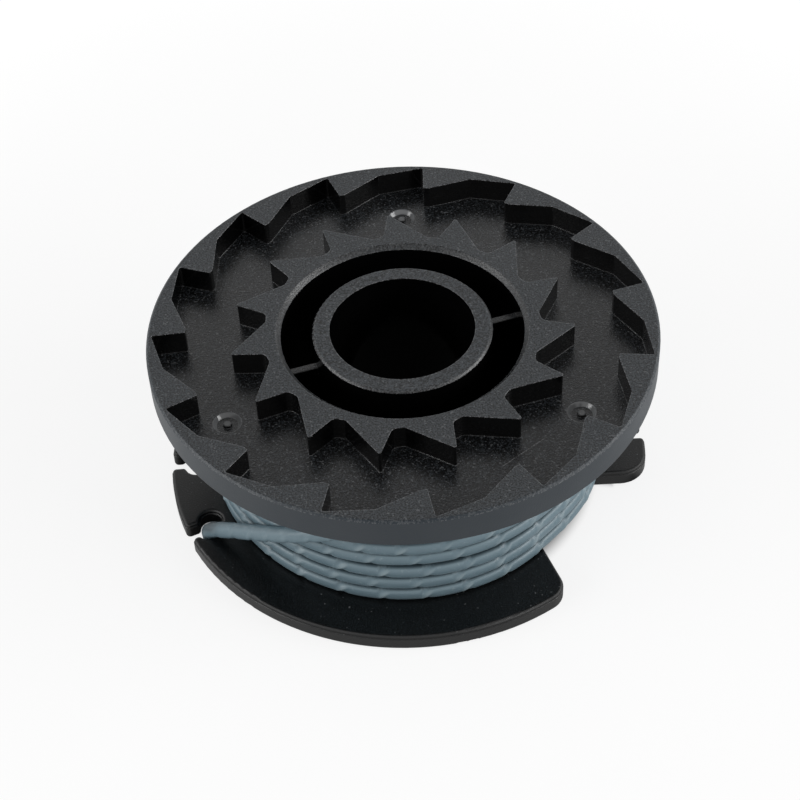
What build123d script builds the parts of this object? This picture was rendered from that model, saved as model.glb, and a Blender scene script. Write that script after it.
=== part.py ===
"""Trimmer line spool: one moulded spool with ratchet teeth, and the line wound on it.

Millimetres, +Z up along the bore, the underside of the lower flange on z = 0.
The photo looks along +Y from the front, so angles run anticlockwise from +X seen from above.
"""
import os
from math import asin, atan2, cos, degrees, hypot, radians, sin

from build123d import *

# heights
TOP_Z = 23.0
RECESS_DEPTH = 3.1
RIM_HEIGHT = 3.7
FLOOR_THICK = 1.6
LOWER_THICK = 2.2
HUB_TOP_Z = 22.9
OVERCUT = 1.0
SLACK = 0.02

# radii
UPPER_R = 30.0
LOWER_R = 29.5
LEDGE_R = 21.0
DRUM_R = 16.0
POCKET_R = 14.3
HUB_R = 10.6
BORE_R = 8.55

# edge breaks
RIM_BREAK = 0.25
POCKET_BREAK = 0.55
HUB_BREAK = 0.25
UNDER_TAPER = 2.2
LOWER_EDGE_TOP = 0.3
LOWER_EDGE_UNDER = 0.4
PARTING_STEP = 0.1
PARTING_Z = 1.7

# ratchet teeth, the same count in both rings and about half a pitch apart
TEETH = 15
PITCH_DEG = 360.0 / TEETH
OUTER_START_DEG = 9.9
OUTER_TIP_R = 25.5
OUTER_KINK_R = 28.2
OUTER_ROOT_R = 29.5
OUTER_ROOT_DEG = 0.9
OUTER_KINK_DEG = 12.2
OUTER_TIP_DEG = 22.5
OUTER_ROOT_ROUND = 0.25
INNER_START_DEG = -2.85
INNER_TIP_R = 20.15
INNER_TIP_FLAT_DEG = 0.8
INNER_STEEP_R = 16.4
INNER_STEEP_DEG = 2.8
INNER_BACK_R = 16.15
INNER_BACK_DEG = 7.6
INNER_VALLEY_ROUND = 0.8
TIP_ROUND = 0.15

# two thin ribs that tie the hub to the drum
RIB_THICK = 0.9
RIB_DROP = 2.7
RIB_DEG = 16.0
RIB_SINK = 0.5

# three moulding gates in the recess floor
GATES = 3
GATE_R = 23.3
GATE_START_DEG = 88.4
GATE_TOP_R = 1.65
GATE_FLOOR_R = 1.25
GATE_DEPTH = 0.5
GATE_NUB_R = 0.5
GATE_NUB_H = 0.35

# lower flange: cut-outs, repeated at half a turn, and line notches as angle, side and width of mouth
SIDE_CUT_Y = -6.05
END_CUT_X = 15.5
END_CUT_Y = -17.3
END_CUT_DEG = -70.2
LOBE_CORNER = 2.6
SIDE_CORNER = 3.4
LEDGE_CORNER = 1.5
NOTCH_AT_R = 26.4
NOTCH_R = 1.35
NOTCH_LENGTH = 1.5
NOTCH_LEAN_DEG = 62.5
MOUTH_NEAR = -0.175
MOUTH_LIP = 0.55
MOUTH_ROOT = 0.45
WIDE_MOUTH = 2.25
TIGHT_MOUTH = 1.85
PARKING_NOTCH = (202.8, 1, TIGHT_MOUTH)
NOTCHES = ((0.1, 1, WIDE_MOUTH), (22.8, 1, TIGHT_MOUTH), (182.5, -1, WIDE_MOUTH), PARKING_NOTCH)

# line
LINE_R = 1.0
LINE_PITCH = 2.0
LAYER_R = 23.1
TOP_LAYER_R = 24.9
TURNS_SHOWN = 6
GROOVE_LIFT = 0.25
TAIL_BEND_R = 2.0
TAIL_END_Z = 0.4
TAIL_OVER = 0.35
TAIL_RISE_Z = 6.7
TAIL_SINK = 0.5
TAIL_LEAVE_DEG = 22.62
WRAP_CORNERS = 5
WRAP_TURN_DEG = 9.0
WRAP_BEND_R = 10.0

FLOOR_Z = TOP_Z - RECESS_DEPTH
RIM_LOW_Z = TOP_Z - RIM_HEIGHT
UNDER_Z = FLOOR_Z - FLOOR_THICK
STEP_Z = LOWER_THICK + (TURNS_SHOWN + 0.5) * LINE_PITCH
TOP_TURN_Z = STEP_Z + LINE_PITCH / 2
TURNS = int((UNDER_Z - LOWER_THICK) / LINE_PITCH)
TOP_TURNS = int((UNDER_Z - STEP_Z) / LINE_PITCH)


def polar(r, deg):
    """Point at a radius and an angle."""
    return (r * cos(radians(deg)), r * sin(radians(deg)))


def slab(sketch, z, height):
    """Upright solid over a flat sketch."""
    return extrude(Pos(0, 0, z) * sketch, amount=height)


def tube(outer, inner, z0, z1):
    """Ring between two heights."""
    ring = Circle(outer) - Circle(inner)
    return slab(ring, z0, z1 - z0)


def corners_at(sketch, radius):
    """Corners of a sketch that lie on one radius about the bore."""
    return [v for v in sketch.vertices() if abs(hypot(v.X, v.Y) - radius) < SLACK]


def outer_teeth():
    """Outline of the recess on its outer side: teeth that point inward."""
    points = []
    for k in range(TEETH):
        base = OUTER_START_DEG + k * PITCH_DEG
        points.append(polar(OUTER_TIP_R, base))
        points.append(polar(OUTER_ROOT_R, base + OUTER_ROOT_DEG))
        points.append(polar(OUTER_KINK_R, base + OUTER_KINK_DEG))
        points.append(polar(OUTER_TIP_R, base + OUTER_TIP_DEG))
    outline = Polygon(*points, align=None)
    outline = fillet(corners_at(outline, OUTER_ROOT_R), OUTER_ROOT_ROUND)
    return fillet(corners_at(outline, OUTER_TIP_R), TIP_ROUND)


def inner_teeth():
    """Outline of the recess on its inner side: teeth that point outward."""
    points = []
    for k in range(TEETH):
        base = INNER_START_DEG + k * PITCH_DEG
        points.append(polar(INNER_TIP_R, base - INNER_TIP_FLAT_DEG))
        points.append(polar(INNER_TIP_R, base))
        points.append(polar(INNER_STEEP_R, base + INNER_STEEP_DEG))
        points.append(polar(INNER_BACK_R, base + INNER_BACK_DEG))
    outline = Polygon(*points, align=None)
    outline = fillet(corners_at(outline, INNER_STEEP_R), INNER_VALLEY_ROUND)
    outline = fillet(corners_at(outline, INNER_BACK_R), INNER_VALLEY_ROUND)
    return fillet(corners_at(outline, INNER_TIP_R), TIP_ROUND)


def upper_flange():
    """Toothed disc: turned blank with the star-shaped recess cut into its top."""
    with BuildSketch(Plane.XZ) as half:
        with BuildLine():
            Polyline(
                (POCKET_R, UNDER_Z),
                (UPPER_R - UNDER_TAPER, UNDER_Z),
                (UPPER_R, RIM_LOW_Z),
                (UPPER_R, TOP_Z - RIM_BREAK),
                (UPPER_R - RIM_BREAK, TOP_Z),
                (POCKET_R + POCKET_BREAK, TOP_Z),
                (POCKET_R, TOP_Z - POCKET_BREAK),
                close=True,
            )
        make_face()
    disc = revolve(half.sketch, Axis.Z)
    recess = slab(outer_teeth() - inner_teeth(), FLOOR_Z, RECESS_DEPTH + OVERCUT)
    disc -= recess
    for k in range(GATES):
        x, y = polar(GATE_R, GATE_START_DEG + k * 360.0 / GATES)
        dish = Pos(x, y, FLOOR_Z - GATE_DEPTH / 2) * Cone(GATE_FLOOR_R, GATE_TOP_R, GATE_DEPTH)
        nub = Pos(x, y, FLOOR_Z - GATE_DEPTH) * Cylinder(
            GATE_NUB_R, GATE_NUB_H, align=(Align.CENTER, Align.CENTER, Align.MIN)
        )
        disc = disc - dish + nub
    return disc


def cut_out():
    """Gap between the end of the front lobe and the side lobe, open to the rim."""
    reach = 2.0 * LOWER_R
    run_x = cos(radians(END_CUT_DEG))
    run_y = sin(radians(END_CUT_DEG))
    back = (SIDE_CUT_Y - END_CUT_Y) / run_y
    meet = (END_CUT_X + back * run_x, SIDE_CUT_Y)
    far_end = (END_CUT_X + reach * run_x, END_CUT_Y + reach * run_y)
    wedge = Polygon(meet, far_end, (reach, -reach), (reach, SIDE_CUT_Y), align=None)
    return wedge - Circle(LEDGE_R)


def notch_end(side, share):
    """Point along the middle of a notch's long hole, before the notch is turned to its place."""
    run = share * NOTCH_LENGTH
    return (NOTCH_AT_R + run * cos(radians(NOTCH_LEAN_DEG)), side * run * sin(radians(NOTCH_LEAN_DEG)))


def mouth_walls(side, width):
    """Offsets of the two walls of a notch's mouth from the notch's own radius."""
    return (side * MOUTH_NEAR, side * (MOUTH_NEAR + width))


def notch(side, width):
    """Leaning long hole that holds the line, with a mouth out through the rim on one side of it."""
    lean = Rot(0, 0, side * NOTCH_LEAN_DEG)
    hole = Pos(*notch_end(side, 0.5)) * lean * SlotCenterToCenter(NOTCH_LENGTH, 2 * NOTCH_R)
    walls = mouth_walls(side, width)
    run = LOWER_R + OVERCUT - NOTCH_AT_R
    outline = hole + Pos(NOTCH_AT_R + run / 2, sum(walls) / 2) * Rectangle(run, width)
    on_walls = [v for v in outline.vertices() if min(abs(v.Y - wall) for wall in walls) < SLACK]
    return fillet([v for v in on_walls if v.X < LOWER_R], MOUTH_ROOT)


def mouth_corners(outline, radius):
    """Corners that the notches' mouths leave on the rim."""
    corners = []
    for deg, side, width in NOTCHES:
        for wall in mouth_walls(side, width):
            x, y = polar(radius, deg + degrees(asin(wall / radius)))
            corners += [v for v in outline.vertices() if hypot(v.X - x, v.Y - y) < SLACK]
    return corners


def lower_outline(radius):
    """Lobed outline of the lower flange with its notches."""
    outline = Circle(radius)
    for turn in (0, 180):
        outline -= Rot(0, 0, turn) * cut_out()
    side_corners = [v for v in corners_at(outline, radius) if abs(v.Y) < abs(END_CUT_Y)]
    outline = fillet(side_corners, SIDE_CORNER)
    end_corners = [v for v in corners_at(outline, radius) if abs(v.Y) > abs(END_CUT_Y)]
    outline = fillet(end_corners, LOBE_CORNER)
    outline = fillet(corners_at(outline, LEDGE_R), LEDGE_CORNER)
    for deg, side, width in NOTCHES:
        outline -= Rot(0, 0, deg) * notch(side, width)
    return fillet(mouth_corners(outline, radius), MOUTH_LIP)


def lower_flange():
    """Lobed plate with rounded edges and a fine parting step round its side."""
    under = slab(lower_outline(LOWER_R), 0, PARTING_Z)
    under = fillet(under.edges().group_by(Axis.Z)[0], LOWER_EDGE_UNDER)
    over = slab(offset(lower_outline(LOWER_R), -PARTING_STEP), PARTING_Z, LOWER_THICK - PARTING_Z)
    over = fillet(over.edges().group_by(Axis.Z)[-1], LOWER_EDGE_TOP)
    return under + over


def spool_body():
    """The one moulding: flanges, drum, hub and ribs."""
    body = upper_flange() + lower_flange()
    body += tube(DRUM_R, POCKET_R, LOWER_THICK / 2, UNDER_Z + FLOOR_THICK / 2)
    hub = slab(Circle(HUB_R), 0, HUB_TOP_Z)
    hub = chamfer(hub.edges().group_by(Axis.Z)[-1], HUB_BREAK)
    body += hub
    rib_top = TOP_Z - RIB_DROP
    rib_length = POCKET_R - HUB_R + 2 * RIB_SINK
    rib_middle = (POCKET_R + HUB_R) / 2
    for turn in (RIB_DEG, RIB_DEG + 180.0):
        rib = Pos(rib_middle, 0, (rib_top + LOWER_THICK / 2) / 2) * Box(
            rib_length, RIB_THICK, rib_top - LOWER_THICK / 2
        )
        body += Rot(0, 0, turn) * rib
    body -= slab(Circle(BORE_R), -OVERCUT, TOP_Z + 2 * OVERCUT)
    return body


def winding():
    """The wound turns as one ring with a ridge for each turn that shows."""
    groove = LAYER_R + GROOVE_LIFT
    top_groove = TOP_LAYER_R + GROOVE_LIFT
    core_top = LOWER_THICK + TURNS * LINE_PITCH
    with BuildSketch(Plane.XZ) as half:
        with BuildLine():
            Line((DRUM_R, LOWER_THICK), (groove, LOWER_THICK))
            for k in range(TURNS_SHOWN):
                z = LOWER_THICK + k * LINE_PITCH
                crest = (LAYER_R + LINE_R, z + LINE_PITCH / 2)
                ThreePointArc((groove, z), crest, (groove, z + LINE_PITCH))
            Polyline((groove, STEP_Z - LINE_PITCH / 2), (LAYER_R + LINE_R, STEP_Z), (top_groove, STEP_Z))
            for k in range(TOP_TURNS):
                z = STEP_Z + k * LINE_PITCH
                crest = (TOP_LAYER_R + LINE_R, z + LINE_PITCH / 2)
                ThreePointArc((top_groove, z), crest, (top_groove, z + LINE_PITCH))
            top_end = STEP_Z + TOP_TURNS * LINE_PITCH
            Polyline(
                (top_groove, top_end),
                (groove, top_end),
                (groove, core_top),
                (DRUM_R, core_top),
                (DRUM_R, LOWER_THICK),
            )
        make_face()
    return revolve(half.sketch, Axis.Z)


def tail_points():
    """Corners of the free end's route, from its cut end in the notch up onto the top layer."""
    notch_deg, notch_side = PARKING_NOTCH[:2]
    park_x, park_y = notch_end(notch_side, 1.0)
    leg_r = hypot(park_x, park_y)
    leg_deg = degrees(atan2(park_y, park_x)) + notch_deg
    leave_deg = leg_deg + TAIL_LEAVE_DEG
    leg_x, leg_y = polar(leg_r, leg_deg)
    notch_z = LOWER_THICK + TAIL_OVER

    points = [(leg_x, leg_y, TAIL_END_Z), (leg_x, leg_y, notch_z)]
    corner_r = TOP_LAYER_R / cos(radians(WRAP_TURN_DEG / 2))
    for k in range(WRAP_CORNERS):
        x, y = polar(corner_r, leave_deg + (k + 0.5) * WRAP_TURN_DEG)
        share = (k + 1) / WRAP_CORNERS
        points.append((x, y, TOP_TURN_Z - (TOP_TURN_Z - TAIL_RISE_Z) * (1.0 - share) ** 2))
    end_r = TOP_LAYER_R - TAIL_SINK
    points.append((*polar(end_r, leave_deg + (WRAP_CORNERS + 0.5) * WRAP_TURN_DEG), TOP_TURN_Z))
    return points


def tail():
    """Free end of the line: off the top layer, down over the turns and into its notch."""
    points = tail_points()
    radii = [TAIL_BEND_R] + [WRAP_BEND_R] * WRAP_CORNERS
    route = FilletPolyline(*points, radius=radii)
    section = Plane(origin=route @ 0, z_dir=route % 0) * Circle(LINE_R)
    end = sweep(section, path=route)
    print("tail radii", radii, "length", round(route.length, 2))
    print("tail volume", round(end.volume, 3), "section times length", round(section.area * route.length, 3))
    return end


def trimmer_line():
    """The line as it sits on the spool: the turns and the parked end in one solid."""
    return winding() + tail()


os.makedirs("parts", exist_ok=True)
export_step(spool_body(), "parts/spool_body.step")
export_step(trimmer_line(), "parts/trimmer_line.step")
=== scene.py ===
"""Trimmer line spool: the finish of the moulded spool and the twisted line wound on it.

Metres, in the part's own frame: +Z up along the bore, the photo's camera on the -Y side.
Angles run anticlockwise from +X seen from above.
"""
import math
import random
from bisect import bisect_left

import bpy
from mathutils import Matrix, Vector


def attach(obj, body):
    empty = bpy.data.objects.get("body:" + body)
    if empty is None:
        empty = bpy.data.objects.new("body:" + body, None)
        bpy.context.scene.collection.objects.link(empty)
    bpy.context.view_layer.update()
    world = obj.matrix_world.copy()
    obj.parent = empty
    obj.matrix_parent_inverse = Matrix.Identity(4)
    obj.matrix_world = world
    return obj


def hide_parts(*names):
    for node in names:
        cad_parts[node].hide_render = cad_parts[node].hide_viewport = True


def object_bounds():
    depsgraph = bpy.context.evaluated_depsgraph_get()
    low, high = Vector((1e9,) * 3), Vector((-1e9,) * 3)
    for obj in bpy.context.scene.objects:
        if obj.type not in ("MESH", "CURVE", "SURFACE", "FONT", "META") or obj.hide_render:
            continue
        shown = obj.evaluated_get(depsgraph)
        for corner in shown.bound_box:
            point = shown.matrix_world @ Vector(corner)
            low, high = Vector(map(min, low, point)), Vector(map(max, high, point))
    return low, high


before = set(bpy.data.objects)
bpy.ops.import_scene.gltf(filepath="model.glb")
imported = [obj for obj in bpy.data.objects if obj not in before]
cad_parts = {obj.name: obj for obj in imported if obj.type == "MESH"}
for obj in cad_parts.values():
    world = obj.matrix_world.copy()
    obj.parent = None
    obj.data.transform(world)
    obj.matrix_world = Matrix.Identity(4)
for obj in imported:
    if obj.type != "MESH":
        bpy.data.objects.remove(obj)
cad_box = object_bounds()

MM = 0.001
TURN = 2.0 * math.pi

# camera, as fitted to the photo
CAMERA_AT_MM = (-0.70, -158.26, 173.28)
CAMERA_DOWN_DEG = 45.76
CAMERA_ROLL_DEG = -2.917
CAMERA_LENS_MM = 83.92
CAMERA_SENSOR_MM = 36.0
CAMERA_CLIP = 10.0 * MM

# spool: places that its finish follows
TOP_Z = cad_box[1][2]
LEVEL_FROM_Z = TOP_Z - 0.7 * MM
RECESS_Z = TOP_Z - 3.1 * MM
DISH_UNDER_Z = RECESS_Z - 0.7 * MM
DISH_UNDER_BLUR = 0.2 * MM
RIM_FROM_Z = TOP_Z - 5.5 * MM
RIM_FROM_BLUR = 0.5 * MM
LOWER_TOP_Z = 2.2 * MM
LOWER_UNTIL_Z = LOWER_TOP_Z + 0.2 * MM
UPPER_R = cad_box[1][0]
RIM_FROM_R = UPPER_R - 0.3 * MM
LOWER_R = 29.5 * MM
LEDGE_R = 21.0 * MM
GATES = 3
GATE_R = 23.3 * MM
GATE_START_DEG = 88.4
GATE_FLOOR_R = 1.25 * MM
GATE_TOP_R = 1.65 * MM
GATE_NUB_R = 0.5 * MM
ZONE_BLUR = 0.1 * MM

# spool: specks, blotches and wear in its finish, and painted highlights along its wall feet and in its
# gate dishes
GRAIN_SIZE = 0.20 * MM
GRAIN_DEPTH = 0.08 * MM
GRAIN_STRENGTH = 0.8
FINE_SIZE = 0.14 * MM
FINE_DEPTH = 0.03 * MM
FINE_STRENGTH = 0.6
SPARK_SIZE = 0.30 * MM
DUST_SIZE = 0.36 * MM
WEAR_AND_HIGHLIGHT_SIZE = 0.24 * MM
PATCH_SIZE = 3.0 * MM
CLOUD_SIZE = 9.0 * MM
EDGE_R = 0.2 * MM
WORN_DEPTH = 0.75 * MM
WORN_BLUR = 0.25 * MM
FOOT_HEIGHT = 0.25 * MM
BREAK_SHARE = 0.18
# share of the painted highlight along the feet of the tooth walls
FOOT_HIGHLIGHT_SHARE = 0.5
SCRATCH_FROM = (9.96 * MM, -20.16 * MM)
SCRATCH_TO = (15.69 * MM, -15.71 * MM)
SCRATCH_FADE = 1.0 * MM
SCRATCH_HALF = 0.06 * MM
SCRATCH_BLUR = 0.04 * MM
# painted highlight rings and middles of the gate dishes
SHINE_LIP = 0.02 * MM
SHINE_LIP_BLUR = 0.06 * MM
SHINE_FOOT_BLUR = 0.05 * MM
SHINE_WALL_SHARE = 0.8
SHINE_NUB_SHARE = 0.5
SHINE_NUB_FADE = 0.25 * MM

# spool: ranges over which a slope or a noise turns into a part of the finish
UP_RANGE = (0.66, 0.76)
SLOPE_START = (0.25, 0.45)
SLOPE_END = (0.97, 0.87)
EDGE_RANGE = (0.995, 0.85)
TOP_RANGE = (0.40, 0.60)
FLOOR_RANGE = (0.44, 0.64)
LOWER_RANGE = (0.50, 0.66)
SPARK_RANGE = (0.63, 0.71)
DUST_RANGE = (0.77, 0.83)
WEAR_AND_HIGHLIGHT_RANGE = (0.46, 0.60)
SCUFF_RANGE = (0.35, 0.60)
PATCH_RANGE = (0.42, 0.60)
CLOUD_RANGE = (0.3, 0.7)

# spool: tones under the wear, each as a grey level and how much bluer it is
WALL_DARK = (0.001, 0.1)
WALL_LIGHT = (0.002, 0.0)
TOP_DARK = (0.003, 0.14)
TOP_LIGHT = (0.052, 0.14)
FLOOR_DARK = (0.001, 0.14)
FLOOR_LIGHT = (0.030, 0.14)

# spool: coats over them, each as its share, its grey level and how much bluer it is
LOWER_COAT = (1.0, 0.010, 0.1)
SPARK_COAT = (0.5, 0.16, 0.04)
RIM_COAT = (1.0, 0.011, 0.6)
DUST_COAT = (0.6, 0.18, 0.02)
# worn edges, and painted highlights along the wall feet
WEAR_AND_FOOT_HIGHLIGHT_COAT = (0.9, 0.26, 0.03)
SCUFF_COAT = (0.8, 0.20, 0.02)
# painted highlights in the gate dishes
GATE_HIGHLIGHT_COAT = (0.9, 0.22, 0.03)

# spool: roughness of each zone, and how much of the moulded grain it has
WALL_FINISH = (0.12, 0.05)
TOP_FINISH = (0.5, 1.0)
FLOOR_FINISH = (0.24, 0.5)
RIM_FINISH = (0.5, 0.25)
LOWER_FINISH = (0.32, 0.35)
LOWER_EDGE_ROUGH = 0.55
ROUGH_SPREAD = 0.04
PLASTIC_IOR = 1.5

# line: section and twist
LINE_R = 0.93 * MM
SIDES = 4
SQUARENESS = 0.07 * MM
TAIL_SQUARENESS = 0.05 * MM
AROUND = 16
QUARTER_SPACING = 4.84 * MM
TAIL_QUARTER_SPACING = 3.4 * MM
QUARTER_LENGTH = 1.6 * MM
QUARTER_STEPS = 8
QUARTER_JITTER = 0.35 * MM
QUARTER_STRENGTH = (0.25, 1.0)
STRAIGHT_STEPS = 4
HIDDEN_SPACING = 3.0 * MM

# line: the turns, from the drum outward
LINE_PITCH = 2.0 * MM
TURNS = 8
FIRST_TURN_Z = 3.2 * MM
INNER_LAYERS = 3
LAYER_R = 23.1 * MM
LAYER_STEP = 2.033 * MM
TOP_TURN = (24.95 * MM, 16.2 * MM)
POINTS_PER_TURN = 24
ROUTE_STEPS = 8
SEED = 7
STEP_OVER_DEG = 90.0
STEP_OVER_SHARE = 0.14
WOBBLE = 0.07 * MM
WOBBLES_OUT = 2
WOBBLES_UP = 3
BULGE = 0.32 * MM
BULGE_DEG = -95.0
BULGE_WIDTH_DEG = 30.0
FLAT_SPOT = 0.6 * MM
FLAT_SPOT_DEG = -45.0
FLAT_SPOT_WIDTH_DEG = 13.0

# line: free end, as radius, angle and height of its route's points
TAIL_ROUTE = (
    (24.95 * MM, 282.0, 16.20 * MM),
    (24.98 * MM, 270.0, 16.05 * MM),
    (25.02 * MM, 259.0, 15.45 * MM),
    (25.02 * MM, 248.5, 14.05 * MM),
    (25.00 * MM, 240.5, 12.10 * MM),
    (25.00 * MM, 233.0, 10.22 * MM),
    (24.98 * MM, 225.7, 8.20 * MM),
    (25.69 * MM, 215.8, 5.56 * MM),
    (26.74 * MM, 209.2, 3.58 * MM),
    (27.15 * MM, 206.6, 2.70 * MM),
    (27.20 * MM, 205.9, 1.80 * MM),
    (27.15 * MM, 205.7, 0.45 * MM),
)

# line: tones, and how strongly its painted shade in the gaps, beside the twists and on the tail end, and
# its painted highlights on the corners show
LINE_DARK = (0.120, 0.186, 0.224, 1.0)
LINE_LIGHT = (0.166, 0.236, 0.272, 1.0)
LINE_SCUFFED = (0.29, 0.36, 0.39, 1.0)
LINE_HIGHLIGHT = (0.32, 0.40, 0.43, 1.0)
LINE_PAINTED_SHADE = (0.014, 0.024, 0.030, 1.0)
LINE_CLOUD_SIZE = 6.0 * MM
LINE_SCUFF_SIZE = 0.5 * MM
LINE_SCUFF_DEPTH = 0.02 * MM
LINE_SCUFF_STRENGTH = 0.5
LINE_SCUFF_RANGE = (0.60, 0.74)
LINE_SCUFF_SHARE = 0.4
LINE_HIGHLIGHT_SHARE = 0.8
LINE_SHADE_SHARE = 0.85
LINE_ROUGH_RANGE = (0.3, 0.7)
LINE_ROUGH = (0.36, 0.5)
NYLON_IOR = 1.5
IN_VIEW_RANGE = (0.1, 0.5)
TURN_GAP_SHADE_RANGE = (0.7, 0.3)
TAIL_TOP_SHADE_RANGE = (-0.4, 0.5)
DENT_SHADE = 0.45
CORNER_HIGHLIGHT = 0.25
SLOPE_HIGHLIGHT = 0.6
TURN_HIGHLIGHT = 0.9
TAIL_HIGHLIGHT = 0.12
TAIL_DIM = 0.9
TAIL_DIM_LENGTH = 6.0 * MM
TAIL_DIM_FADE = TAIL_DIM_LENGTH / 2.2

# studio floor: where the spool leaves it open, and how brightly it shows there; under the spool its glow
# is left out as a painted shadow, and near the spool it is dimmed in reflections as painted shade
STUDIO_HALF = 4.0
STUDIO_DROP = 0.01 * MM
STUDIO_TOUCH = 0.06 * MM
GAP_START_DEG = 128.0
GAP_END_DEG = 167.0
GAP_BLUR_DEG = 2.0
GAP_FADE = 3.0 * MM
OPEN_R = LOWER_R - 0.25 * MM
OPEN_BLUR = 0.75 * MM
NOTCH_R = 25.5 * MM
NOTCH_BLUR = 0.5 * MM
NEAR_GLOW = 0.5
NEAR_WIDTH = 14.0 * MM
FAR_GLOW = 0.80
FAR_FROM = 60.0 * MM
FAR_TO = 250.0 * MM
STUDIO_GREY = 0.86
SHADOW_GREY = 0.26

# studio light
LIGHT_LEVEL = 0.36
BACKDROP_LOW = 1.08
BACKDROP_HIGH = 0.32
BACKDROP_RISE = (0.62, 0.80)
SOFTBOX_AIM = Vector((0.0, 0.0, 12.0 * MM))
SOFTBOX_UP_DEG = 20.0
SOFTBOX_AWAY = 0.6
SOFTBOX_WIDE = 0.55
SOFTBOX_TALL = 0.2


class Graph:
    """Shader nodes of a material or a world, with short calls to add and link them."""

    def __init__(self, owner):
        self.owner = owner
        owner.use_nodes = True
        self.tree = owner.node_tree
        self.tree.nodes.clear()

    def add(self, kind, inputs=None, **settings):
        node = self.tree.nodes.new(kind)
        for key, value in settings.items():
            setattr(node, key, value)
        for key, value in (inputs or {}).items():
            if isinstance(value, bpy.types.NodeSocket):
                self.tree.links.new(value, node.inputs[key])
            else:
                node.inputs[key].default_value = value
        return node

    def math(self, operation, *values):
        inputs = dict(enumerate(values))
        return self.add("ShaderNodeMath", inputs, operation=operation).outputs[0]

    def product(self, first, *others):
        for other in others:
            first = self.math("MULTIPLY", first, other)
        return first

    def largest(self, first, *others):
        for other in others:
            first = self.math("MAXIMUM", first, other)
        return first

    def dot(self, first, second):
        inputs = {0: first, 1: second}
        return self.add("ShaderNodeVectorMath", inputs, operation="DOT_PRODUCT").outputs["Value"]

    def minus(self, first, second):
        inputs = {0: first, 1: second}
        return self.add("ShaderNodeVectorMath", inputs, operation="SUBTRACT").outputs[0]

    def length(self, vector):
        return self.add("ShaderNodeVectorMath", {0: vector}, operation="LENGTH").outputs["Value"]

    def between(self, value, low, high, to_low=0.0, to_high=1.0):
        """Smooth step of a value from one level to another."""
        inputs = {"Value": value, "From Min": low, "From Max": high, "To Min": to_low, "To Max": to_high}
        return self.add("ShaderNodeMapRange", inputs, interpolation_type="SMOOTHSTEP").outputs["Result"]

    def past(self, value, place, blur):
        """1 where a value is past a place, 0 short of it."""
        return self.between(value, place - blur, place + blur)

    def short_of(self, value, place, blur):
        """1 where a value is short of a place, 0 past it."""
        return self.between(value, place + blur, place - blur)

    def noise(self, where, size, detail=2.0, roughness=0.5):
        """Noise whose blobs are about one size across."""
        inputs = {"Vector": where, "Scale": 1.0 / size, "Detail": detail, "Roughness": roughness}
        return self.add("ShaderNodeTexNoise", inputs).outputs["Fac"]

    def mix(self, share, first, second):
        inputs = {0: share, 2: first, 3: second}
        return self.add("ShaderNodeMix", inputs, data_type="FLOAT").outputs[0]

    def mix_colour(self, share, first, second):
        inputs = {0: share, 6: first, 7: second}
        return self.add("ShaderNodeMix", inputs, data_type="RGBA").outputs[2]

    def bump(self, height, depth, strength, normal=None):
        inputs = {"Height": height, "Distance": depth, "Strength": strength}
        if normal is not None:
            inputs["Normal"] = normal
        return self.add("ShaderNodeBump", inputs).outputs[0]

    def shown(self, path):
        """1 for rays that show a surface to the camera, straight, mirrored or through glass."""
        kinds = ("Is Camera Ray", "Is Glossy Ray", "Is Transmission Ray")
        return self.largest(*(path.outputs[kind] for kind in kinds))

    def surface(self, shader, output="ShaderNodeOutputMaterial"):
        self.add(output, {"Surface": shader})
        return self.owner


def polar(radius, degrees, height):
    """Point at a radius, an angle and a height."""
    angle = math.radians(degrees)
    return Vector((radius * math.cos(angle), radius * math.sin(angle), height))


def grey(level, cool=0.0):
    """Grey tone, made a little bluer by its second value."""
    return (level * (1.0 - cool), level, level * (1.0 + cool), 1.0)


def scratch(g, where):
    """Thin straight scuff on the recess floor."""
    start = Vector((*SCRATCH_FROM, 0.0))
    run = Vector((*SCRATCH_TO, 0.0)) - start
    along_way = run.normalized()
    across_way = Vector((-along_way.y, along_way.x, 0.0))
    from_start = g.minus(where, start)
    along = g.dot(from_start, along_way)
    across = g.math("ABSOLUTE", g.dot(from_start, across_way))
    begin = g.between(along, 0.0, SCRATCH_FADE)
    end = g.between(along, run.length, run.length - SCRATCH_FADE)
    return g.product(g.short_of(across, SCRATCH_HALF, SCRATCH_BLUR), begin, end)


def painted_gate_highlight(g, where):
    """Painted highlights on the sides and middles of the gate dishes."""
    shine = 0.0
    for k in range(GATES):
        centre = polar(GATE_R, GATE_START_DEG + k * 360.0 / GATES, 0.0)
        away = g.length(g.minus(where, centre))
        outer = g.short_of(away, GATE_TOP_R + SHINE_LIP, SHINE_LIP_BLUR)
        inner = g.past(away, GATE_FLOOR_R, SHINE_FOOT_BLUR)
        wall = g.product(outer, inner, SHINE_WALL_SHARE)
        nub = g.between(away, GATE_NUB_R, GATE_NUB_R - SHINE_NUB_FADE, 0.0, SHINE_NUB_SHARE)
        shine = g.largest(shine, wall, nub)
    return shine


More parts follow.
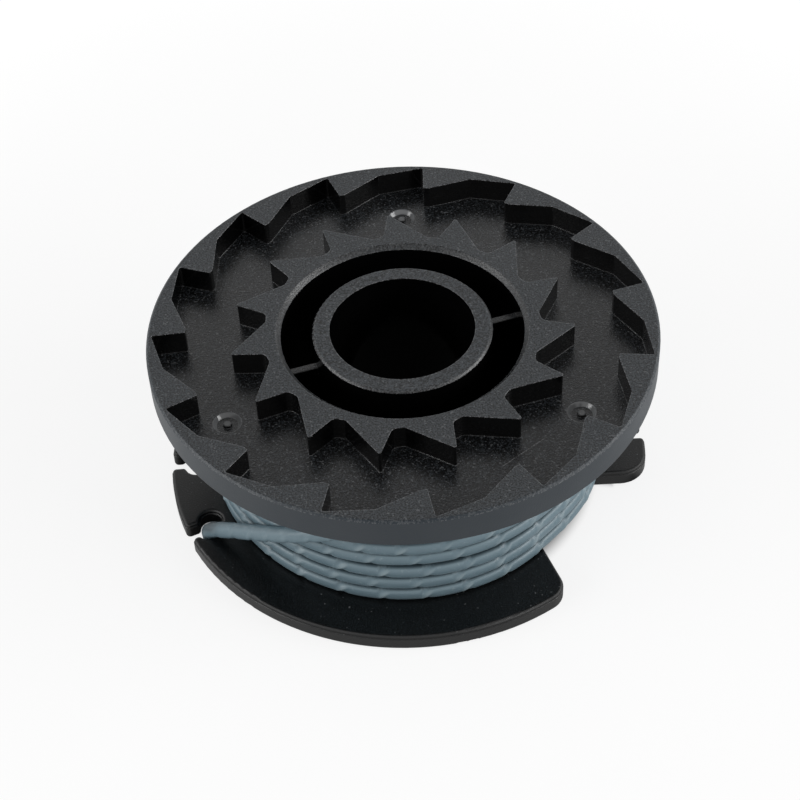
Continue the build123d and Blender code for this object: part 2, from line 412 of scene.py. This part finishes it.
def spool_plastic():
    """Black moulded plastic: sparked tops, satin recess floor, glossy tooth walls, worn edges, painted
    highlights along the wall feet and in the gate dishes.
    """
    g = Graph(bpy.data.materials.new("spool_plastic"))
    where = g.add("ShaderNodeTexCoord").outputs["Object"]
    split = g.add("ShaderNodeSeparateXYZ", {0: where})
    height = split.outputs["Z"]
    flat = g.add("ShaderNodeCombineXYZ", {"X": split.outputs["X"], "Y": split.outputs["Y"]}).outputs[0]
    radius = g.length(flat)
    geometry = g.add("ShaderNodeNewGeometry")
    facing = g.add("ShaderNodeSeparateXYZ", {0: geometry.outputs["True Normal"]}).outputs["Z"]

    # zones of the spool
    up = g.between(facing, *UP_RANGE)
    sloped = g.product(g.between(facing, *SLOPE_START), g.between(facing, *SLOPE_END))
    level = g.past(height, LEVEL_FROM_Z, ZONE_BLUR)
    top = g.product(up, level)
    above = g.past(height, DISH_UNDER_Z, DISH_UNDER_BLUR)
    floor = g.product(up, above, g.math("SUBTRACT", 1.0, level))
    rim = g.product(g.past(radius, RIM_FROM_R, ZONE_BLUR), g.past(height, RIM_FROM_Z, RIM_FROM_BLUR))
    lower = g.short_of(height, LOWER_UNTIL_Z, ZONE_BLUR)

    # grain, dust and wear, and a painted highlight along the wall feet
    grain = g.noise(where, GRAIN_SIZE, roughness=0.6)
    fine = g.noise(where, FINE_SIZE)
    cloud = g.noise(where, CLOUD_SIZE, detail=3.0)
    patches = g.between(g.noise(where, PATCH_SIZE), *PATCH_RANGE)
    spark = g.between(g.noise(where, SPARK_SIZE, detail=1.0), *SPARK_RANGE)
    dust = g.between(g.noise(where, DUST_SIZE, detail=0.0), *DUST_RANGE)
    # patches where edges show wear and wall feet a painted highlight
    lightened = g.between(g.noise(where, WEAR_AND_HIGHLIGHT_SIZE), *WEAR_AND_HIGHLIGHT_RANGE)
    soft_edge = g.add("ShaderNodeBevel", {"Radius": EDGE_R}, samples=6).outputs[0]
    edge = g.between(g.dot(soft_edge, geometry.outputs["Normal"]), *EDGE_RANGE)
    near_top = g.past(height, TOP_Z - WORN_DEPTH, WORN_BLUR)
    brink = g.product(g.largest(edge, g.product(sloped, BREAK_SHARE)), near_top)
    # painted highlight along the feet of the tooth walls, in patches
    near_floor = g.short_of(height, RECESS_Z + FOOT_HEIGHT, ZONE_BLUR)
    foot_highlight = g.product(edge, above, near_floor, patches, FOOT_HIGHLIGHT_SHARE)

    # tones of the zones, and the coats on them
    sparked = g.mix_colour(g.between(grain, *TOP_RANGE), grey(*TOP_DARK), grey(*TOP_LIGHT))
    satin = g.mix_colour(g.between(grain, *FLOOR_RANGE), grey(*FLOOR_DARK), grey(*FLOOR_LIGHT))
    tone = g.mix_colour(cloud, grey(*WALL_DARK), grey(*WALL_LIGHT))
    tone = g.mix_colour(top, tone, sparked)
    tone = g.mix_colour(floor, tone, satin)
    coats = (
        (g.product(lower, up, g.between(grain, *LOWER_RANGE)), LOWER_COAT),
        (g.product(spark, up, above), SPARK_COAT),
        (rim, RIM_COAT),
        (g.product(dust, patches, up), DUST_COAT),
        # worn edges, and painted highlights along the wall feet, in patches
        (g.product(g.largest(brink, foot_highlight), lightened), WEAR_AND_FOOT_HIGHLIGHT_COAT),
        (g.product(scratch(g, flat), floor, g.between(grain, *SCUFF_RANGE)), SCUFF_COAT),
        # painted highlights in the gate dishes
        (g.product(painted_gate_highlight(g, flat), above), GATE_HIGHLIGHT_COAT),
    )
    for place, (share, coat_level, cool) in coats:
        tone = g.mix_colour(g.product(place, share), tone, grey(coat_level, cool))

    # roughness and grain of the zones
    rough, grip = WALL_FINISH
    finishes = ((top, TOP_FINISH), (floor, FLOOR_FINISH), (rim, RIM_FINISH), (lower, LOWER_FINISH))
    for zone, (zone_rough, zone_grip) in finishes:
        rough = g.mix(zone, rough, zone_rough)
        grip = g.mix(zone, grip, zone_grip)
    rough = g.mix(g.product(lower, sloped), rough, LOWER_EDGE_ROUGH)
    rough = g.math("ADD", rough, g.between(cloud, *CLOUD_RANGE, -ROUGH_SPREAD, ROUGH_SPREAD))
    normal = g.bump(g.product(grain, grip), GRAIN_DEPTH, GRAIN_STRENGTH, soft_edge)
    normal = g.bump(g.product(fine, grip), FINE_DEPTH, FINE_STRENGTH, normal)
    inputs = {"Base Color": tone, "Roughness": rough, "Normal": normal, "IOR": PLASTIC_IOR}
    shader = g.add("ShaderNodeBsdfPrincipled", inputs)
    return g.surface(shader.outputs[0])


def line_nylon():
    """Grey-blue nylon with small scuffs, painted shade down in the gaps between turns and painted
    highlights on its corners.
    """
    g = Graph(bpy.data.materials.new("line_nylon"))
    where = g.add("ShaderNodeTexCoord").outputs["Object"]
    cloud = g.noise(where, LINE_CLOUD_SIZE, detail=3.0)
    scuff = g.noise(where, LINE_SCUFF_SIZE, detail=3.0, roughness=0.6)
    painted_shade = g.add("ShaderNodeAttribute", attribute_name="painted_shade").outputs["Fac"]
    ridge_highlight = g.add("ShaderNodeAttribute", attribute_name="ridge_highlight").outputs["Fac"]
    tone = g.mix_colour(cloud, LINE_DARK, LINE_LIGHT)
    scuffed = g.between(scuff, *LINE_SCUFF_RANGE, 0.0, LINE_SCUFF_SHARE)
    tone = g.mix_colour(scuffed, tone, LINE_SCUFFED)
    # painted highlights on the line's corners and in its twists
    tone = g.mix_colour(g.product(ridge_highlight, LINE_HIGHLIGHT_SHARE), tone, LINE_HIGHLIGHT)
    # painted shade in the gaps between turns, beside the twists' steps and on the top of the tail end
    tone = g.mix_colour(g.product(painted_shade, LINE_SHADE_SHARE), tone, LINE_PAINTED_SHADE)
    rough = g.between(scuff, *LINE_ROUGH_RANGE, *LINE_ROUGH)
    normal = g.bump(scuff, LINE_SCUFF_DEPTH, LINE_SCUFF_STRENGTH)
    inputs = {"Base Color": tone, "Roughness": rough, "Normal": normal, "IOR": NYLON_IOR}
    shader = g.add("ShaderNodeBsdfPrincipled", inputs)
    return g.surface(shader.outputs[0])


def smooth_step(value, start, end):
    """Smooth step from 0 to 1 as a value goes from start to end."""
    share = min(max((value - start) / (end - start), 0.0), 1.0)
    return share * share * (3.0 - 2.0 * share)


def hump(degrees, centre, width):
    """Bell curve about one angle, 1 at its centre."""
    away = (degrees - centre + 180.0) % 360.0 - 180.0
    return math.exp(-((away / width) ** 2))


def turn_places():
    """Radius and height of each turn, in the order they were wound."""
    places = []
    for layer in range(INNER_LAYERS + 1):
        radius = LAYER_R - (INNER_LAYERS - layer) * LAYER_STEP
        heights = [FIRST_TURN_Z + k * LINE_PITCH for k in range(TURNS)]
        if layer % 2 == 0:
            heights.reverse()
        places += [(radius, height) for height in heights]
    return places + [TOP_TURN]


def winding_points(draw):
    """Route of the wound line: level turns that step over at the back, then the free end."""
    pull = 1.0 / math.cos(math.pi / POINTS_PER_TURN)
    points = []
    places = turn_places()
    last = places[0]
    for number, place in enumerate(places):
        phase = draw.uniform(0.0, TURN)
        on_last = number == len(places) - 1
        for k in range(POINTS_PER_TURN):
            share = k / POINTS_PER_TURN
            degrees = STEP_OVER_DEG - 360.0 * share
            if on_last and degrees + 360.0 < TAIL_ROUTE[0][1]:
                break
            over = smooth_step(share, 0.0, STEP_OVER_SHARE)
            radius = last[0] + (place[0] - last[0]) * over
            height = last[1] + (place[1] - last[1]) * over
            loose = smooth_step(radius, LAYER_R - LAYER_STEP, LAYER_R)
            radius += loose * BULGE * hump(degrees, BULGE_DEG, BULGE_WIDTH_DEG)
            radius -= loose * FLAT_SPOT * hump(degrees, FLAT_SPOT_DEG, FLAT_SPOT_WIDTH_DEG)
            radius += loose * WOBBLE * math.sin(WOBBLES_OUT * TURN * share + phase)
            height += loose * WOBBLE * math.sin(WOBBLES_UP * TURN * share + phase)
            points.append(polar(radius * pull, degrees, height))
        last = place
    return points + [polar(*place) for place in TAIL_ROUTE]


def smooth_route(points):
    """Points along a smooth curve that the route's points control."""
    curve = bpy.data.curves.new("route", "CURVE")
    curve.dimensions = "3D"
    curve.resolution_u = ROUTE_STEPS
    spline = curve.splines.new("NURBS")
    spline.points.add(len(points) - 1)
    for knot, point in zip(spline.points, points):
        knot.co = (*point, 1.0)
    spline.order_u = 3
    spline.use_endpoint_u = True
    holder = bpy.data.objects.new("route", curve)
    mesh = bpy.data.meshes.new_from_object(holder)
    route = [v.co.copy() for v in mesh.vertices]
    bpy.data.objects.remove(holder)
    bpy.data.curves.remove(curve)
    bpy.data.meshes.remove(mesh)
    return route


def run_lengths(points):
    """Length along a route up to each of its points."""
    lengths = [0.0]
    for a, b in zip(points, points[1:]):
        lengths.append(lengths[-1] + (b - a).length)
    return lengths


def stations(length, inner_length, tail_length, draw):
    """Places of the rings along the line, with the section's turn and the twist's strength there."""
    count = int(inner_length / HIDDEN_SPACING)
    rings = [(k * inner_length / count, 0.0, 0.0) for k in range(count)]
    at = inner_length
    turned = 0.0
    quarter = -TURN / SIDES
    while at < length - QUARTER_LENGTH:
        spacing = TAIL_QUARTER_SPACING if at > length - tail_length else QUARTER_SPACING
        straight = spacing - QUARTER_LENGTH + draw.uniform(-QUARTER_JITTER, QUARTER_JITTER)
        for k in range(STRAIGHT_STEPS):
            rings.append((at + straight * k / STRAIGHT_STEPS, turned, 0.0))
        strength = draw.uniform(*QUARTER_STRENGTH)
        for k in range(QUARTER_STEPS):
            share = k / QUARTER_STEPS
            twist = strength * math.sin(math.pi * share)
            rings.append((at + straight + QUARTER_LENGTH * share, turned + quarter * share, twist))
        at += straight + QUARTER_LENGTH
        turned += quarter
    rings = [ring for ring in rings if ring[0] < length]
    return rings + [(length, turned, 0.0)]


def place_on(route, lengths, at):
    """Point at a length along a route, with the ways outward and sideways there."""
    span = min(bisect_left(lengths, at, 1) - 1, len(route) - 2)
    run = lengths[span + 1] - lengths[span]
    share = (at - lengths[span]) / run if run else 0.0
    middle = route[span].lerp(route[span + 1], share)
    ahead = (route[span + 1] - route[span]).normalized()
    out = Vector((middle.x, middle.y, 0.0))
    out = (out - ahead * out.dot(ahead)).normalized()
    return middle, out, ahead.cross(out)


def section_marks(angle, outward, upward, twist, free, tail_dim):
    """Painted shade and painted highlight of the line at one point of its section."""
    slope = math.sin(SIDES * angle)
    corner = max(-math.cos(SIDES * angle), 0.0) ** 2
    in_view = smooth_step(outward, *IN_VIEW_RANGE)
    # painted shade on the facet beside each twist's step
    dent = DENT_SHADE * twist * in_view * max(slope, 0.0)
    # painted highlight along the corners and the upper facets of the twists
    on_corner = corner * (CORNER_HIGHLIGHT + (1.0 - CORNER_HIGHLIGHT) * twist)
    ridge = in_view * max(on_corner, SLOPE_HIGHLIGHT * twist * max(-slope, 0.0))
    if free:
        # painted shade on the upper side of the tail near its end
        gap = tail_dim * smooth_step(upward, *TAIL_TOP_SHADE_RANGE)
        return max(gap, dent * max(-upward, 0.0)), ridge * TAIL_HIGHLIGHT
    # painted shade down in the gaps between turns
    gap = smooth_step(outward, *TURN_GAP_SHADE_RANGE)
    return max(gap, dent), ridge * TURN_HIGHLIGHT


def tube_faces(ring_count):
    """Quads between neighbouring rings of points, and a cap at each end."""
    faces = []
    for k in range(ring_count - 1):
        for j in range(AROUND):
            a = k * AROUND + j
            b = k * AROUND + (j + 1) % AROUND
            faces.append((a, b, b + AROUND, a + AROUND))
    last = (ring_count - 1) * AROUND
    return faces + [tuple(reversed(range(AROUND))), tuple(range(last, last + AROUND))]


def wound_line():
    """The whole line in one mesh: a rounded square that turns by quarters along its route."""
    draw = random.Random(SEED)
    route = smooth_route(winding_points(draw))
    lengths = run_lengths(route)
    length = lengths[-1]
    inner = sum(TURN * (LAYER_R - (k + 1) * LAYER_STEP) * TURNS for k in range(INNER_LAYERS))
    tail = run_lengths([polar(*place) for place in TAIL_ROUTE])[-1]
    rings = stations(length, inner, tail, draw)
    dim_from = length - TAIL_DIM_LENGTH

    vertices = []
    painted_shade = []
    ridge_highlight = []
    for at, turned, twist in rings:
        middle, out, side = place_on(route, lengths, at)
        free = at > length - tail
        square = TAIL_SQUARENESS if free else SQUARENESS
        # painted shade on the upper side of the tail, growing towards its end
        tail_dim = TAIL_DIM * smooth_step(at, dim_from, dim_from + TAIL_DIM_FADE)
        for j in range(AROUND):
            angle = TURN * j / AROUND
            outward = math.cos(angle + turned)
            upward = math.sin(angle + turned)
            reach = LINE_R - square * math.cos(SIDES * angle)
            vertices.append(middle + out * reach * outward + side * reach * upward)
            shaded, lightened = section_marks(angle, outward, upward, twist, free, tail_dim)
            painted_shade.append(shaded)
            ridge_highlight.append(lightened)

    faces = tube_faces(len(rings))
    mesh = bpy.data.meshes.new("wound_line")
    mesh.from_pydata(vertices, [], faces)
    mesh.polygons.foreach_set("use_smooth", [True] * len(faces))
    # painted shade and painted highlights, read by the line's material
    mesh.attributes.new("painted_shade", "FLOAT", "POINT").data.foreach_set("value", painted_shade)
    mesh.attributes.new("ridge_highlight", "FLOAT", "POINT").data.foreach_set("value", ridge_highlight)
    mesh.update()
    piece = bpy.data.objects.new("wound_line", mesh)
    bpy.context.scene.collection.objects.link(piece)
    print("length of the line in metres", round(length, 4))
    return piece


def open_floor(g, path, where, away):
    """Share of the floor that the spool leaves open: round it, between its lobes and in its notches; the
    floor glows only there, so the rest holds a painted shadow under the spool.
    """
    split = g.add("ShaderNodeSeparateXYZ", {0: where})
    angle = g.math("ARCTAN2", split.outputs["Y"], split.outputs["X"])
    half_turn = g.math("FLOORED_MODULO", angle, math.pi)
    gap_blur = math.radians(GAP_BLUR_DEG)
    past_start = g.past(half_turn, math.radians(GAP_START_DEG), gap_blur)
    short_of_end = g.short_of(half_turn, math.radians(GAP_END_DEG), gap_blur)
    in_gap = g.product(past_start, short_of_end, g.between(away, LEDGE_R, LEDGE_R + GAP_FADE))
    outside = g.past(away, OPEN_R, OPEN_BLUR)
    in_notch = g.product(g.past(away, NOTCH_R, NOTCH_BLUR), path.outputs["Is Camera Ray"])
    return g.largest(in_gap, outside, in_notch)


def studio_floor():
    """Pale floor that shows white to the camera and in reflections, with its glow left out under the
    spool as a painted shadow and dimmed near it in reflections as painted shade, and keeps a soft
    shadow.

    It can be looked through from below, and by what rests on it.
    """
    g = Graph(bpy.data.materials.new("studio_floor"))
    path = g.add("ShaderNodeLightPath")
    where = g.add("ShaderNodeTexCoord").outputs["Object"]
    away = g.length(where)
    # painted shade: the glow dims near the spool in reflections
    near = g.between(away, LOWER_R, LOWER_R + NEAR_WIDTH, NEAR_GLOW, 1.0)
    near = g.mix(path.outputs["Is Camera Ray"], near, 1.0)
    far = g.between(away, FAR_FROM, FAR_TO, FAR_GLOW, 1.0)
    # painted shadow: no glow where the spool covers the floor
    strength = g.product(open_floor(g, path, where, away), near, far)
    glow = g.add("ShaderNodeEmission", {"Strength": strength}).outputs[0]
    faint = g.add("ShaderNodeBsdfDiffuse", {"Color": grey(SHADOW_GREY)}).outputs[0]
    bright = g.add("ShaderNodeAddShader", {0: glow, 1: faint}).outputs[0]
    plain = g.add("ShaderNodeBsdfDiffuse", {"Color": grey(STUDIO_GREY)}).outputs[0]
    sheet = g.add("ShaderNodeMixShader", {0: g.shown(path), 1: plain, 2: bright}).outputs[0]
    below = g.add("ShaderNodeNewGeometry").outputs["Backfacing"]
    touching = g.math("LESS_THAN", path.outputs["Ray Length"], STUDIO_TOUCH)
    clear = g.add("ShaderNodeBsdfTransparent").outputs[0]
    shader = g.add("ShaderNodeMixShader", {0: g.largest(below, touching), 1: sheet, 2: clear}).outputs[0]

    mesh = bpy.data.meshes.new("studio_floor")
    signs = ((-1, -1), (1, -1), (1, 1), (-1, 1))
    corners = [(x * STUDIO_HALF, y * STUDIO_HALF, -STUDIO_DROP) for x, y in signs]
    mesh.from_pydata(corners, [], [(0, 1, 2, 3)])
    sheet_object = bpy.data.objects.new("studio_floor", mesh)
    sheet_object.data.materials.append(g.surface(shader))
    bpy.context.scene.collection.objects.link(sheet_object)


def studio_world():
    """White backdrop all round that fades higher up, and softer light from everywhere."""
    g = Graph(bpy.data.worlds.new("studio"))
    path = g.add("ShaderNodeLightPath")
    toward = g.add("ShaderNodeTexCoord").outputs["Generated"]
    rise = g.add("ShaderNodeSeparateXYZ", {0: toward}).outputs["Z"]
    backdrop = g.between(rise, *BACKDROP_RISE, BACKDROP_LOW, BACKDROP_HIGH)
    backdrop = g.mix(path.outputs["Is Camera Ray"], backdrop, 1.0)
    strength = g.mix(g.shown(path), LIGHT_LEVEL, backdrop)
    background = g.add("ShaderNodeBackground", {"Color": grey(1.0), "Strength": strength})
    bpy.context.scene.world = g.surface(background.outputs[0], "ShaderNodeOutputWorld")


def softbox(name, azimuth, power):
    """Wide lamp that looks at the middle of the spool."""
    lamp = bpy.data.lights.new(name, "AREA")
    lamp.shape = "RECTANGLE"
    lamp.size = SOFTBOX_WIDE
    lamp.size_y = SOFTBOX_TALL
    lamp.energy = power
    holder = bpy.data.objects.new(name, lamp)
    up = math.radians(SOFTBOX_UP_DEG)
    away = polar(SOFTBOX_AWAY * math.cos(up), azimuth, SOFTBOX_AWAY * math.sin(up))
    holder.location = SOFTBOX_AIM + away
    holder.rotation_euler = away.to_track_quat("Z", "Y").to_euler()
    bpy.context.scene.collection.objects.link(holder)


def camera():
    """Camera at the photo's viewing angle."""
    down = math.radians(CAMERA_DOWN_DEG)
    back = Vector((0.0, -math.cos(down), math.sin(down)))
    right = Vector((1.0, 0.0, 0.0))
    up = back.cross(right)
    roll = Matrix.Rotation(math.radians(CAMERA_ROLL_DEG), 3, back)
    turned = Matrix((roll @ right, roll @ up, back)).transposed()
    data = bpy.data.cameras.new("camera")
    data.sensor_width = CAMERA_SENSOR_MM
    data.lens = CAMERA_LENS_MM
    data.clip_start = CAMERA_CLIP
    holder = bpy.data.objects.new("camera", data)
    holder.matrix_world = Matrix.Translation(Vector(CAMERA_AT_MM) * MM) @ turned.to_4x4()
    bpy.context.scene.collection.objects.link(holder)
    bpy.context.scene.camera = holder


camera()
studio_floor()
studio_world()
softbox("softbox_left", azimuth=197.0, power=1.6)
softbox("softbox_right", azimuth=-12.0, power=2.2)

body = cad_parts["spool_body"]
body.data.materials.clear()
body.data.materials.append(spool_plastic())

line = wound_line()
line.data.materials.append(line_nylon())
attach(line, "root")
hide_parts("trimmer_line")

bpy.context.scene.view_settings.view_transform = "Standard"
